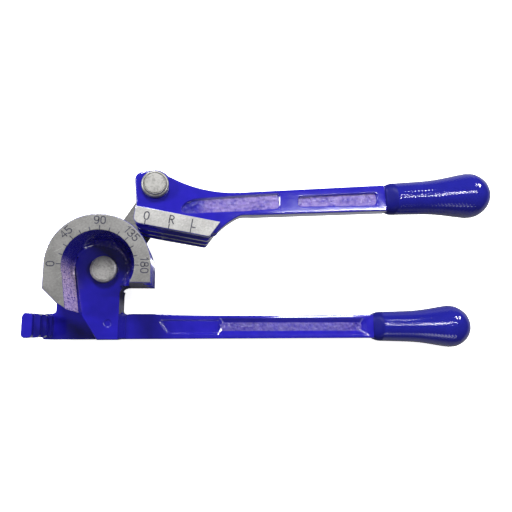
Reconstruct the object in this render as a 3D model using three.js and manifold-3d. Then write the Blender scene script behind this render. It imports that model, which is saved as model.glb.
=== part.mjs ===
// A lever tube bender for three tube sizes, lying on its back with the scale facing up.
// Millimetres. X runs along the lower handle, Y towards the upper handle, Z up out of the scale.
// The origin is on the axis of the forming wheel, at the rear end of the wheel pin.
import * as THREE from "three";
import { mergeVertices, toCreasedNormals } from "three/addons/utils/BufferGeometryUtils.js";
import Module from "manifold-3d";

const wasm = await Module();
wasm.setup();

// Tube sizes, rear groove to front groove, and the bend they are drawn round.
const smallTube = 6.35;
const middleTube = 7.94;
const largeTube = 9.53;
const bendRadius = 23.8;
const jawGap = 1.8;
const groovePlay = 0.1;
const grooveLand = 2.45;

// Heights of the layers over the back of the handle.
const barThick = 9.4;
const wheelLift = 10.4;
const hubFront = 24;
const slotFloor = 22.2;

// Forming wheel.
const bowlRadius = 15.6;
const bowlDraft = 1.3;
const bowlCorner = 6;
const slotCorner = 0.8;
const cornerFadeStart = THREE.MathUtils.degToRad(85);
const cornerFadeEnd = THREE.MathUtils.degToRad(150);
const sideTop = 6;
const sideLeft = 15.5;
const sideFootLeft = 12.1;
const sideLean = 1.8;
const scaleEndDrop = 7.8;
const wheelSideDrop = 10.7;
const wheelChamfer = 6.3;
const wheelToeLeft = 9.6;
const wheelToeDrop = 21.6;
const wheelEdgeBevel = 0.35;
const wheelDraft = 0.5;

// Hub and post in front of the back plate.
const hubRadius = 13.8;
const hubTurnShare = 0.944;
const armLeftTop = 12.6;
const armLeftMiddle = 11.7;
const armMiddleDrop = 9.5;
const armLeftBottom = 9.7;
const armFootLeft = 2.2;
const postRight = 7.5;
const postStepRun = 2.4;
const postFillet = 4;
const postBevel = 0.7;

// Back plate and lower handle bar.
const plateLeft = 24.1;
const plateTopDrop = 9.5;
const plateFillet = 2;
const barTopDrop = 20.5;
const barHeight = 12.7;
const barWaist = 0.8;
const barWaistAt = 55;
const barEndAt = 140.7;
const barBevel = 0.6;

// Hook that holds the tail of the tube.
const hookLeft = 30.2;
const hookThick = 4.4;
const hookHeight = 10.6;
const hookSink = 0.7;
const hookDraft = 0.9;
const hookFlare = 0.45;
const hookCorner = 1.8;

// Hollows along the front of the lower bar.
const shallowDepth = 0.6;
const shallowHeight = 7.2;
const shallowTopAt = 25;
const shallowFootAt = 30.5;
const channelDepth = 1.7;
const channelHeight = 8.8;
const channelSlope = 2.2;
const channelStartAt = 55;
const channelEndAt = 136.5;
const channelMiddleDrop = 27;

// Round marks left by the pins that push a casting out of its die.
const markDepth = 0.25;
const markRadius = 1.7;
const wideMarkRadius = 2.3;
const postMarkAt = 2.5;
const postMarkDrop = 25.4;
const nearMarkAt = 64.5;
const farMarkAt = 130.5;
const leverNearMarkAt = 72.9;
const leverFarMarkAt = 103.8;

// Link between the wheel axis and the lever pin.
const linkLength = 44.8;
const linkRestAngle = THREE.MathUtils.degToRad(58.3);
const linkHalfWidth = 8.1;
const linkShift = 0.9;
const linkThick = 4.6;
const linkGap = 0.4;
const linkBevel = 0.4;

// Pins, washers and clips.
const pinRadius = 4;
const pinHeadRadius = 6.25;
const pinHeadThick = 3.6;
const pinHeadBevel = 0.7;
const pinTipBevel = 0.5;
const boreClearance = 0.15;
const faceClearance = 0.3;
const washerThick = 0.9;
const washerRadius = 7;
const clipThick = 0.8;
const clipRadius = 6.2;
const clipNeck = 3;
const clipMouth = 4.4;
const clipNotchRadius = 1;

// Lever: sizes are measured from the lever pin.
const shoeDrop = linkLength - bendRadius - jawGap / 2;
const shoeTilt = THREE.MathUtils.degToRad(9.3);
const shoeAhead = 28.8;
const shoeBehind = 6.4;
const shoeFaceHeight = 8;
const shoeEndLean = 3.9;
const shoeBlockHeight = 11.6;
const shoeBack = 0.3;
const shoeHeelRadius = 4;
const shoeToeRadius = 1.1;
const shoeEdgeBevel = 0.35;
const leverDrop = 4.3;
const leverThick = 7.7;
const bossRadius = 7.6;
const webReach = 46;
const leverFootDrop = 12.6;
const leverEnd = 113.5;
const leverBevel = 0.8;
const recessDepth = 1.2;
const recessSlope = 0.5;

// Upper outline of the lever web as shares of its reach, measured from the lever pin.
const webTopShares = [
  [-0.205, 0.06], [-0.187, 0.11], [-0.125, 0.148], [-0.03, 0.154], [0.06, 0.135], [0.126, 0.108],
  [0.248, 0.054], [0.37, 0.012], [0.493, -0.017], [0.615, -0.034], [0.739, -0.04], [0.865, -0.035],
  [0.991, -0.023],
];

// Lower outline from the bar to the shoe: shares of the reach, and of the fall to the shoe's face.
const webFootShares = [
  [1.02, 0], [0.928, 0.01], [0.868, 0.07], [0.804, 0.285], [0.74, 0.56], [0.678, 0.895],
  [0.622, 1.26],
];
const barTopRiseShare = 0.0931;
const barFootRiseShare = 0.0675;

// Edges of the two recesses as shares of the web's reach: distance from the pin, height.
const longRecessTopShares = [[0.39, -0.126], [0.865, -0.07], [1.29, -0.027]];
const longRecessFootShares = [[1.29, -0.196], [0.897, -0.239], [0.44, -0.27], [0.285, -0.273]];
const longRecessEndShares = [[0.262, -0.232], [0.285, -0.185], [0.335, -0.15]];
const shortRecessTopShares = [[1.482, -0.052], [1.935, -0.011], [2.37, 0.026]];
const shortRecessFootShares = [[2.37, -0.122], [1.931, -0.146], [1.48, -0.169]];

// Grips.
const gripLength = 57.8;
const gripRadius = 11.6;
const gripProfileShares = [
  [0, 0.6], [0.012, 0.64], [0.04, 0.668], [0.084, 0.69], [0.227, 0.716], [0.378, 0.741],
  [0.487, 0.784], [0.587, 0.853], [0.671, 0.922], [0.755, 0.987], [0.789, 1], [0.839, 0.978],
  [0.889, 0.879], [0.931, 0.733], [0.965, 0.526], [0.988, 0.293],
];
const gripEndWall = 13.2;
const tangLength = gripLength - gripEndWall;
const tangHeight = 8.6;
const tangThick = 6.2;
const tangBevel = 0.8;
const gripFit = 0.3;

// How round things are cut, and how far a cutter runs past what it cuts.
const arcSteps = 38;
const tubeSteps = 16;
const cornerSteps = 6;
const filletShare = 0.46;
const overrun = 5;
const weldDistance = 1e-4;

const wheelThick = smallTube + middleTube + largeTube + 4 * grooveLand;
const faceZ = wheelLift + wheelThick;
const flangeRadius = bendRadius - jawGap / 2;
const grooves = grooveRows();
const barFootDrop = barTopDrop + barHeight;
const barMiddleDrop = barTopDrop + barHeight / 2;
const linkFront = wheelLift - linkGap;
const linkRear = linkFront - linkThick;
const washerRear = linkRear - faceClearance - washerThick;
const clipRear = washerRear - faceClearance - clipThick;
const pinCentre = new THREE.Vector2(linkLength, 0).rotateAround(new THREE.Vector2(), linkRestAngle);
const leverFront = faceZ - leverDrop;
const leverRear = leverFront - leverThick;
const gripMiddle = leverRear + leverThick / 2;

// Centre height and radius of each tube groove, from the back to the front.
function grooveRows() {
  const rows = [];
  let z = wheelLift;
  for (const tube of [smallTube, middleTube, largeTube]) {
    z += grooveLand;
    rows.push({ z: z + tube / 2, radius: tube / 2 + groovePlay });
    z += tube;
  }
  return rows;
}

function solid(geometry) {
  const bare = geometry.clone();
  bare.deleteAttribute("normal");
  bare.deleteAttribute("uv");
  const merged = mergeVertices(bare, weldDistance);
  return new wasm.Manifold(
    new wasm.Mesh({
      numProp: 3,
      vertProperties: new Float32Array(merged.attributes.position.array),
      triVerts: new Uint32Array(merged.index.array),
    }),
  );
}

function geometryOf(manifold) {
  const mesh = manifold.getMesh();
  const geometry = new THREE.BufferGeometry();
  geometry.setAttribute("position", new THREE.BufferAttribute(mesh.vertProperties, 3));
  geometry.setIndex(new THREE.BufferAttribute(mesh.triVerts, 1));
  return toCreasedNormals(geometry, Math.PI / 6);
}

// A flat outline raised from one height to another, its rims broken by a bevel.
function raised(outline, bottom, top, bevel) {
  const shape = outline instanceof THREE.Shape ? outline : new THREE.Shape(outline);
  const settings = {
    depth: top - bottom - 2 * bevel,
    bevelEnabled: bevel > 0,
    bevelSize: bevel,
    bevelThickness: bevel,
    bevelOffset: -bevel,
    bevelSegments: 2,
    curveSegments: cornerSteps,
  };
  const geometry = new THREE.ExtrudeGeometry(shape, settings);
  geometry.translate(0, 0, bottom + bevel);
  return geometry;
}

function prism(outline, bottom, top, bevel = 0) {
  return solid(raised(outline, bottom, top, bevel));
}

// A closed body between two outlines with the same number of points.
function loft(lower, upper, bottom, top) {
  const count = lower.length;
  const place = (points, z) => points.flatMap((point) => [point.x, point.y, z]);
  const index = [];
  for (const [a, b, c] of THREE.ShapeUtils.triangulateShape(lower, [])) index.push(c, b, a);
  for (const [a, b, c] of THREE.ShapeUtils.triangulateShape(upper, [])) {
    index.push(a + count, b + count, c + count);
  }
  for (let i = 0; i < count; i++) {
    const next = (i + 1) % count;
    index.push(i, next, next + count, i, next + count, i + count);
  }
  const positions = new Float32Array([...place(lower, bottom), ...place(upper, top)]);
  const geometry = new THREE.BufferGeometry();
  geometry.setAttribute("position", new THREE.BufferAttribute(positions, 3));
  geometry.setIndex(index);
  return solid(geometry);
}

function cylinder(radius, bottom, top, x = 0, y = 0) {
  const geometry = new THREE.CylinderGeometry(radius, radius, top - bottom, arcSteps);
  geometry.rotateX(Math.PI / 2);
  geometry.translate(x, y, (top + bottom) / 2);
  return solid(geometry);
}

function box(left, right, front, back, bottom, top) {
  const geometry = new THREE.BoxGeometry(right - left, back - front, top - bottom);
  geometry.translate((left + right) / 2, (front + back) / 2, (bottom + top) / 2);
  return solid(geometry);
}

// A profile of radius and height turned about the axis through the given point.
function turned(profile, x = 0, y = 0) {
  const points = profile.map(([radius, z]) => new THREE.Vector2(radius, z));
  const geometry = new THREE.LatheGeometry(points, arcSteps);
  geometry.rotateX(Math.PI / 2);
  geometry.translate(x, y, 0);
  return solid(geometry);
}

// A straight tube that runs along Y from one place to another.
function tubeAlongY(radius, x, z, from, to) {
  const geometry = new THREE.CylinderGeometry(radius, radius, to - from, tubeSteps);
  geometry.translate(x, (from + to) / 2, z);
  return solid(geometry);
}

// A fillet takes at most its share of each edge that it rounds off.
function roundedCorner(corner, before, after, radius) {
  const shorter = Math.min(corner.distanceTo(before), corner.distanceTo(after));
  const reach = Math.min(radius, shorter * filletShare);
  const start = before.clone().sub(corner).setLength(reach).add(corner);
  const end = after.clone().sub(corner).setLength(reach).add(corner);
  return new THREE.QuadraticBezierCurve(start, corner, end).getPoints(cornerSteps);
}

// A closed outline through the corners, each rounded by its own radius.
function roundedOutline(corners, radii) {
  const points = corners.map(([x, y]) => new THREE.Vector2(x, y));
  const count = points.length;
  return points.flatMap((corner, i) => {
    const before = points[(i + count - 1) % count];
    const after = points[(i + 1) % count];
    return radii[i] > 0 ? roundedCorner(corner, before, after, radii[i]) : [corner];
  });
}

function material(color, roughness, metalness) {
  return new THREE.MeshStandardMaterial({ color, roughness, metalness });
}

const bluePaint = () => material(0x23229b, 0.35, 0);
const blueRubber = () => material(0x2c2b99, 0.5, 0);
const platedSteel = () => material(0xa9a8a4, 0.38, 1);
const springSteel = () => material(0x55555a, 0.4, 1);

function part(name, manifold, finish) {
  const mesh = new THREE.Mesh(geometryOf(manifold), finish);
  mesh.name = name;
  return mesh;
}

// Wheel, back plate, post, bar and hook: one casting.

function wheelBlock() {
  const shape = new THREE.Shape();
  const chamferFoot = wheelSideDrop + wheelChamfer;
  shape.moveTo(flangeRadius, -scaleEndDrop);
  shape.lineTo(flangeRadius, 0);
  for (let i = 1; i <= arcSteps; i++) {
    const angle = (Math.PI * i) / arcSteps;
    shape.lineTo(flangeRadius * Math.cos(angle), flangeRadius * Math.sin(angle));
  }
  shape.lineTo(-flangeRadius, -wheelSideDrop);
  shape.lineTo(wheelChamfer - flangeRadius, -chamferFoot);
  shape.lineTo(-wheelToeLeft, -wheelToeDrop);
  shape.lineTo(postRight, -wheelToeDrop);
  shape.lineTo(postRight, -scaleEndDrop - postFillet);
  shape.quadraticCurveTo(postRight, -scaleEndDrop, postRight + postFillet, -scaleEndDrop);
  const geometry = raised(shape, wheelLift, faceZ, wheelEdgeBevel);
  widenRear(geometry);
  return solid(geometry);
}

// The draft of the wheel's rim: each level is a little wider than the one in front of it. The
// sides of the post and the toe stay square to the face.
function widenRear(geometry) {
  const position = geometry.attributes.position;
  for (let i = 0; i < position.count; i++) {
    const x = position.getX(i);
    const y = position.getY(i);
    const down = (faceZ - position.getZ(i)) / wheelThick;
    const wider = 1 + (down * wheelDraft) / flangeRadius;
    if (y > 0 || Math.abs(x) > postRight + postFillet) position.setX(i, x * wider);
    if (y > 0) position.setY(i, y * wider);
  }
}

// Left side of the way, moved right by the given distance.
function waySide(inward) {
  const shoulder = Math.sqrt(bowlRadius ** 2 - sideTop ** 2);
  return [
    new THREE.Vector2(inward - shoulder, sideTop),
    new THREE.Vector2(inward - sideLeft, 0),
    new THREE.Vector2(inward - sideFootLeft, -wheelToeDrop - overrun),
  ];
}

// The round corner between the hub's face and the wall is wide, but it narrows beside the arm.
function dishCorner(angle) {
  const fromRight = angle > Math.PI * 1.5 ? angle - 2 * Math.PI : angle;
  const fade = THREE.MathUtils.smoothstep(fromRight, cornerFadeStart, cornerFadeEnd);
  return THREE.MathUtils.lerp(bowlCorner, slotCorner, fade);
}

// Outline of the dish at one height over the hub's face.
function dishOutline(height) {
  const wall = bowlRadius - bowlDraft * (1 - height / (faceZ - hubFront));
  const points = [];
  for (let i = 0; i < arcSteps; i++) {
    const angle = (2 * Math.PI * i) / arcSteps;
    const corner = dishCorner(angle);
    const below = Math.max(corner - height, 0);
    const radius = wall - corner + Math.sqrt(corner ** 2 - below ** 2);
    points.push(new THREE.Vector2(radius * Math.cos(angle), radius * Math.sin(angle)));
  }
  return points;
}

function dish() {
  const heights = [];
  for (let i = 0; i <= cornerSteps; i++) {
    heights.push(bowlCorner * (1 - Math.cos((Math.PI * i) / (2 * cornerSteps))));
  }
  heights.push(faceZ - hubFront);
  let cut = prism(dishOutline(faceZ - hubFront), faceZ, faceZ + overrun);
  for (let i = 1; i < heights.length; i++) {
    const [low, high] = [heights[i - 1], heights[i]];
    cut = cut.add(loft(dishOutline(low), dishOutline(high), hubFront + low, hubFront + high));
  }
  return cut;
}

// The hollow: the dish, the open way from it down over the post, and a slot that sets the arm off
// from the way's left side.
function bowlCut() {
  const lowest = -wheelToeDrop - overrun;
  const front = faceZ + overrun;
  const corners = [new THREE.Vector2(0, lowest), new THREE.Vector2(0, sideTop)];
  const rim = [...waySide(0), ...corners];
  const left = loft([...waySide(sideLean), ...corners], rim, slotFloor, faceZ);
  return dish()
    .add(left)
    .add(prism(rim, faceZ, front))
    .add(box(-bowlDraft, postRight, lowest, 0, hubFront, front))
    .add(box(0, postRight + postFillet, lowest, -scaleEndDrop, hubFront, front));
}

// The hub round the wheel pin and the post that carries it down to the bar.
function armOutline() {
  const shape = new THREE.Shape();
  shape.moveTo(postRight, -barFootDrop);
  shape.lineTo(postRight, -scaleEndDrop - postFillet);
  shape.quadraticCurveTo(postRight, -scaleEndDrop, postRight + postFillet, -scaleEndDrop);
  shape.lineTo(hubRadius, 0);
  const turn = Math.PI * hubTurnShare;
  for (let i = 1; i <= arcSteps / 2; i++) {
    const angle = (2 * turn * i) / arcSteps;
    shape.lineTo(hubRadius * Math.cos(angle), hubRadius * Math.sin(angle));
  }
  shape.lineTo(-armLeftTop, -armMiddleDrop / 2);
  shape.lineTo(-armLeftMiddle, -armMiddleDrop);
  shape.lineTo(-armLeftBottom, -wheelToeDrop);
  shape.lineTo(-armFootLeft, -barFootDrop);
  return shape;
}

// The hub and post above one level, as far up as the given place.
function armPiece(bottom, highest) {
  const left = -armLeftTop - overrun;
  const region = box(left, hubRadius + overrun, -barFootDrop, highest, bottom, hubFront);
  return prism(armOutline(), bottom - postBevel, hubFront, postBevel).intersect(region);
}

// Above the link's end the arm stops short of the link, and below it the arm fills the depth.
function arm() {
  return armPiece(wheelLift, hubRadius + overrun).add(armPiece(0, -plateTopDrop));
}

// The slope at the foot of the post's right side, over the bar only.
function postStep() {
  const profile = [
    new THREE.Vector2(postRight - overrun, 0),
    new THREE.Vector2(postRight + postStepRun, barThick - postBevel),
    new THREE.Vector2(postRight, hubFront - 2 * postBevel),
    new THREE.Vector2(postRight - overrun, hubFront - 2 * postBevel),
  ];
  const geometry = new THREE.ExtrudeGeometry(new THREE.Shape(profile), {
    depth: barHeight - 2 * barBevel,
    bevelEnabled: false,
  });
  geometry.rotateX(Math.PI / 2);
  geometry.translate(0, -barTopDrop - barBevel, 0);
  return solid(geometry);
}

// Back plate between the bar and the wheel, with a fillet at each side of its foot. The foot of
// the wheel reaches down into it, because the wheel stands a little higher than the plate.
function backPlate() {
  const shape = new THREE.Shape();
  shape.moveTo(-plateLeft - plateFillet, -barTopDrop);
  shape.quadraticCurveTo(-plateLeft, -barTopDrop, -plateLeft, -barTopDrop + plateFillet);
  shape.lineTo(-plateLeft, -plateTopDrop);
  shape.lineTo(postRight, -plateTopDrop);
  shape.lineTo(postRight, -barTopDrop + plateFillet);
  shape.quadraticCurveTo(postRight, -barTopDrop, postRight + plateFillet, -barTopDrop);
  shape.lineTo(postRight + plateFillet, -barMiddleDrop);
  shape.lineTo(-plateLeft - plateFillet, -barMiddleDrop);
  const plate = prism(shape, 0, barThick);
  const wheelFoot = wheelBlock().intersect(
    box(-plateLeft, postRight, -barMiddleDrop, -plateTopDrop, wheelLift, slotFloor),
  );
  return plate.add(wheelFoot.translate([0, 0, -wheelLift + barThick / 2]));
}

function lowerBar() {
  const shape = new THREE.Shape();
  const waistTop = -barTopDrop - barWaist;
  shape.moveTo(-hookLeft, -barFootDrop + hookCorner);
  shape.quadraticCurveTo(-hookLeft, -barFootDrop, hookCorner - hookLeft, -barFootDrop);
  shape.lineTo(barEndAt, -barFootDrop);
  shape.lineTo(barEndAt, -barTopDrop);
  shape.quadraticCurveTo((barEndAt + barWaistAt) / 2, waistTop, barWaistAt, waistTop);
  shape.quadraticCurveTo(barWaistAt / 2 + postRight, waistTop, barWaistAt / 2, -barTopDrop);
  shape.lineTo(hookCorner - hookLeft, -barTopDrop);
  shape.quadraticCurveTo(-hookLeft, -barTopDrop, -hookLeft, -barTopDrop - hookCorner);
  return prism(shape, 0, barThick, barBevel);
}

// The tang is the end of a bar that the grip covers. It runs along +X from the origin.
function tang(grow = 0) {
  const half = tangHeight / 2 + grow;
  const length = tangLength + grow;
  const outline = [
    new THREE.Vector2(-overrun, -half),
    new THREE.Vector2(length, -half),
    new THREE.Vector2(length, half),
    new THREE.Vector2(-overrun, half),
  ];
  return prism(outline, -tangThick / 2 - grow, tangThick / 2 + grow, tangBevel);
}

// A block that stands on the bar, drafted so that its top is smaller than its foot.
function hook() {
  const left = -hookLeft;
  const right = hookThick - hookLeft;
  const top = -barTopDrop - hookSink;
  const foot = top - hookHeight;
  const geometry = new THREE.ExtrudeGeometry(
    new THREE.Shape(
      roundedOutline(
        [[left, foot], [right, foot], [right, top], [left, top]],
        [hookCorner, hookCorner, hookCorner, hookCorner],
      ),
    ),
    {
      depth: faceZ - wheelEdgeBevel - hookDraft,
      bevelEnabled: true,
      bevelSize: wheelEdgeBevel,
      bevelThickness: wheelEdgeBevel,
      bevelOffset: -wheelEdgeBevel,
      bevelSegments: 2,
      curveSegments: cornerSteps,
    },
  );
  geometry.translate(0, 0, hookDraft);
  flare(geometry, left, (top + foot) / 2);
  return solid(geometry);
}

// Widens the foot of the hook: to the right and up and down, but not to the left.
function flare(geometry, left, middle) {
  const position = geometry.attributes.position;
  for (let i = 0; i < position.count; i++) {
    const down = 1 - position.getZ(i) / faceZ;
    const wider = 1 + (down * hookDraft) / hookThick;
    const taller = 1 + (down * hookFlare) / hookHeight;
    position.setX(i, left + (position.getX(i) - left) * wider);
    position.setY(i, middle + (position.getY(i) - middle) * taller);
  }
}

// The space that the three tubes take: up past the hook, round the wheel and down again.
function tubeCuts() {
  let cut = null;
  for (const { z, radius } of grooves) {
    const ring = new THREE.TorusGeometry(bendRadius, radius, tubeSteps, 2 * arcSteps);
    ring.translate(0, 0, z);
    const reach = bendRadius + radius + overrun;
    const bend = solid(ring).intersect(box(-reach, reach, 0, reach, z - reach, z + reach));
    const lowest = -barFootDrop - overrun;
    const tail = tubeAlongY(radius, -bendRadius, z, lowest, groovePlay);
    const lead = tubeAlongY(radius, bendRadius, z, -scaleEndDrop - overrun, groovePlay);
    const one = bend.add(tail).add(lead);
    cut = cut ? cut.add(one) : one;
  }
  return cut;
}

// Moves each edge of an anticlockwise outline inwards by the same distance.
function inset(corners, distance) {
  const count = corners.length;
  return corners.map(([x, y], i) => {
    const [px, py] = corners[(i + count - 1) % count];
    const [nx, ny] = corners[(i + 1) % count];
    const before = new THREE.Vector2(x - px, y - py).normalize();
    const after = new THREE.Vector2(nx - x, ny - y).normalize();
    const share = distance / (1 + before.dot(after));
    return [x - (before.y + after.y) * share, y + (before.x + after.x) * share];
  });
}

// A hollow with a flat floor and sloping sides, sunk from the given height.
function hollow(corners, radii, front, depth, slope) {
  const rim = roundedOutline(corners, radii);
  const floor = roundedOutline(inset(corners, slope), radii);
  return loft(floor, rim, front - depth, front).add(prism(rim, front, front + overrun));
}

function barHollows() {
  const middle = -channelMiddleDrop;
  const shallow = shallowHeight / 2;
  const deep = channelHeight / 2;
  const meeting = channelStartAt + channelSlope + shallow;
  const first = hollow(
    [
      [shallowFootAt, middle - shallow],
      [meeting, middle - shallow],
      [meeting, middle + shallow],
      [shallowTopAt, middle + shallow],
    ],
    [channelSlope, 0, 0, channelSlope],
    barThick,
    shallowDepth,
    shallowDepth,
  );
  const second = hollow(
    [
      [channelStartAt, middle - deep],
      [channelEndAt, middle - deep],
      [channelEndAt, middle + deep],
      [channelStartAt, middle + deep],
    ],
    [channelSlope, channelSlope, channelSlope, channelSlope],
    barThick,
    channelDepth,
    channelSlope,
  );
  return first.add(second);
}

function mark(radius, x, y, surface) {
  return cylinder(radius, surface - markDepth, surface + overrun, x, y);
}

function bodyMarks() {
  const floor = barThick - channelDepth;
  const post = mark(markRadius, postMarkAt, -postMarkDrop, hubFront);
  const near = mark(markRadius, nearMarkAt, -channelMiddleDrop, floor);
  const far = mark(markRadius, farMarkAt, -channelMiddleDrop, floor);
  return post.add(near).add(far);
}

function benderBody() {
  const bodyTang = tang().translate([barEndAt, -barMiddleDrop, barThick / 2]);
  const bore = cylinder(pinRadius + boreClearance, -overrun, faceZ + overrun);
  return wheelBlock()
    .subtract(bowlCut())
    .add(arm())
    .add(backPlate())
    .add(lowerBar())
    .add(postStep())
    .add(hook())
    .add(bodyTang)
    .subtract(tubeCuts())
    .subtract(barHollows())
    .subtract(bodyMarks())
    .subtract(bore);
}

// Lever: web, boss, grooved shoe and bar, cast in one.

function fromPin(shares) {
  return shares.map(([x, y]) => new THREE.Vector2(x * webReach, y * webReach));
}

function webFoot() {
  const fall = shoeDrop - leverFootDrop;
  const corners = webFootShares.map(
    ([along, down]) => new THREE.Vector2(along * webReach, -leverFootDrop - down * fall),
  );
  return new THREE.SplineCurve(corners).getPoints(arcSteps / 2);
}

// A point given along the shoe's face and square to it, seen from the lever pin.
function onShoe(along, up) {
  const point = new THREE.Vector2(along, up - shoeDrop);
  return point.rotateAround(new THREE.Vector2(), -shoeTilt);
}

function shoeCorners(height, lean) {
  return [
    onShoe(-shoeBehind, height),
    onShoe(-shoeBehind, 0),
    onShoe(shoeAhead, 0),
    onShoe(shoeAhead + lean, height),
  ].map((point) => [point.x, point.y]);
}

function shoeOutline(height, lean) {
  return roundedOutline(shoeCorners(height, lean), [0, shoeHeelRadius, shoeToeRadius, 0]);
}

function leverSlope() {
  return Math.atan((barTopRiseShare + barFootRiseShare) / 2);
}

// Top and foot of the bar's end, which is square to the bar.
function leverBarEnd(topStart, footStart) {
  const heightAt = (start, rise, x) => start.y + (x - start.x) * rise;
  const high = heightAt(topStart, barTopRiseShare, leverEnd);
  const low = heightAt(footStart, barFootRiseShare, leverEnd);
  const lean = ((high - low) / 2) * Math.tan(leverSlope());
  const topX = leverEnd - lean;
  const footX = leverEnd + lean;
  return [
    new THREE.Vector2(topX, heightAt(topStart, barTopRiseShare, topX)),
    new THREE.Vector2(footX, heightAt(footStart, barFootRiseShare, footX)),
  ];
}

function leverOutline() {
  const top = new THREE.SplineCurve(fromPin(webTopShares)).getPoints(arcSteps);
  const foot = webFoot();
  const [topEnd, footEnd] = leverBarEnd(top[top.length - 1], foot[0]);
  const heel = onShoe(-shoeBehind, shoeFaceHeight);
  return [
    ...foot,
    onShoe(shoeAhead - shoeToeRadius, shoeToeRadius),
    onShoe(-shoeBehind + shoeHeelRadius, shoeToeRadius),
    heel,
    ...top,
    topEnd,
    footEnd,
  ].reverse();
}

function leverAxis() {
  const outline = leverOutline();
  const middle = outline[0].clone().lerp(outline[1], 0.5);
  return { middle, slope: leverSlope() };
}

function shoe() {
  const face = prism(shoeOutline(shoeFaceHeight, shoeEndLean), leverRear, faceZ, shoeEdgeBevel);
  const lean = (shoeEndLean * shoeBlockHeight) / shoeFaceHeight;
  const rear = wheelLift + shoeBack;
  const outline = shoeOutline(shoeBlockHeight, lean);
  return face.add(prism(outline, rear, gripMiddle, shoeEdgeBevel));
}

function shoeGrooves() {
  const length = shoeBehind + shoeAhead + 2 * overrun;
  const middle = onShoe((shoeAhead - shoeBehind) / 2, -jawGap / 2);
  let cut = null;
  for (const { z, radius } of grooves) {
    const geometry = new THREE.CylinderGeometry(radius, radius, length, tubeSteps);
    geometry.rotateZ(Math.PI / 2 - shoeTilt);
    geometry.translate(middle.x, middle.y, z);
    const one = solid(geometry);
    cut = cut ? cut.add(one) : one;
  }
  return cut;
}

function recess(corners, radii) {
  const pairs = corners.map((point) => [point.x, point.y]);
  return hollow(pairs, radii, leverFront, recessDepth, recessSlope);
}

function leverRecesses() {
  const longCorners = fromPin([
    ...longRecessEndShares,
    ...longRecessTopShares,
    ...longRecessFootShares,
  ]).reverse();
  const shortCorners = fromPin([...shortRecessTopShares, ...shortRecessFootShares]).reverse();
  const round = recessDepth + recessSlope;
  const longRadii = longCorners.map(() => round);
  const shortRadii = shortCorners.map(() => round);
  return recess(longCorners, longRadii).add(recess(shortCorners, shortRadii));
}

function leverMarks() {
  const { middle, slope } = leverAxis();
  const at = (x) => middle.y + (x - middle.x) * Math.tan(slope);
  const surface = leverFront - recessDepth;
  const near = mark(wideMarkRadius, leverNearMarkAt, at(leverNearMarkAt), surface);
  const far = mark(markRadius, leverFarMarkAt, at(leverFarMarkAt), surface);
  return near.add(far);
}

function leverTang(grow = 0) {
  const { middle, slope } = leverAxis();
  return tang(grow)
    .rotate([0, 0, THREE.MathUtils.radToDeg(slope)])
    .translate([middle.x, middle.y, gripMiddle]);
}

function leverCasting() {
  const bore = cylinder(pinRadius + boreClearance, -overrun, faceZ + overrun);
  const boss = cylinder(bossRadius, wheelLift + shoeBack, leverFront - leverBevel);
  return prism(leverOutline(), leverRear, leverFront, leverBevel)
    .subtract(leverRecesses())
    .subtract(leverMarks())
    .add(shoe())
    .add(boss)
    .add(leverTang())
    .subtract(shoeGrooves())
    .subtract(bore)
    .translate([pinCentre.x, pinCentre.y, 0]);
}

// Link, pins, washers and clips.

function linkPlate() {
  const shape = new THREE.Shape();
  shape.absarc(0, linkShift, linkHalfWidth, Math.PI / 2, (3 * Math.PI) / 2);
  shape.absarc(linkLength, linkShift, linkHalfWidth, -Math.PI / 2, Math.PI / 2);
  const geometry = new THREE.ExtrudeGeometry(shape, {
    depth: linkThick - 2 * linkBevel,
    bevelEnabled: true,
    bevelSize: linkBevel,
    bevelThickness: linkBevel,
    bevelOffset: -linkBevel,
    bevelSegments: 1,
    curveSegments: arcSteps / 2,
  });
  geometry.translate(0, 0, linkRear + linkBevel);
  const bore = pinRadius + boreClearance;
  return solid(geometry)
    .subtract(cylinder(bore, linkRear - overrun, linkFront + overrun))
    .subtract(cylinder(bore, linkRear - overrun, linkFront + overrun, linkLength))
    .rotate([0, 0, THREE.MathUtils.radToDeg(linkRestAngle)]);
}

// A headed pin whose head stands just clear of the given surface.
function pin(surface, x, y) {
  const seat = surface + faceClearance;
  const headTop = seat + pinHeadThick;
  return turned(
    [
      [0, 0],
      [pinRadius - pinTipBevel, 0],
      [pinRadius, pinTipBevel],
      [pinRadius, clipRear - boreClearance],
      [clipNeck, clipRear - boreClearance],
      [clipNeck, clipRear + clipThick + boreClearance],
      [pinRadius, clipRear + clipThick + boreClearance],
      [pinRadius, seat],
      [pinHeadRadius, seat],
      [pinHeadRadius, headTop - pinHeadBevel],
      [pinHeadRadius - pinHeadBevel, headTop],
      [0, headTop],
    ],
    x,
    y,
  );
}

function washer(x, y) {
  const hole = cylinder(pinRadius + boreClearance, washerRear - overrun, linkRear, x, y);
  return cylinder(washerRadius, washerRear, washerRear + washerThick, x, y).subtract(hole);
}

// An open retaining clip: a ring with a mouth, and a notch at each side of the mouth.
function clip(x, y) {
  const top = clipRear + clipThick;
  const neck = cylinder(clipNeck + boreClearance, clipRear - overrun, top + overrun);
  const half = clipMouth / 2;
  const mouth = box(-half, half, -clipRadius - overrun, 0, clipRear - overrun, top + overrun);
  const notches = [-1, 1].map((side) =>
    cylinder(clipNotchRadius, clipRear - overrun, top + overrun, side * clipNeck, clipNotchRadius),
  );
  return cylinder(clipRadius, clipRear, top)
    .subtract(neck)
    .subtract(mouth)
    .subtract(notches[0])
    .subtract(notches[1])
    .translate([x, y, 0]);
}

// Grips: bodies of revolution round the tangs.

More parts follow.
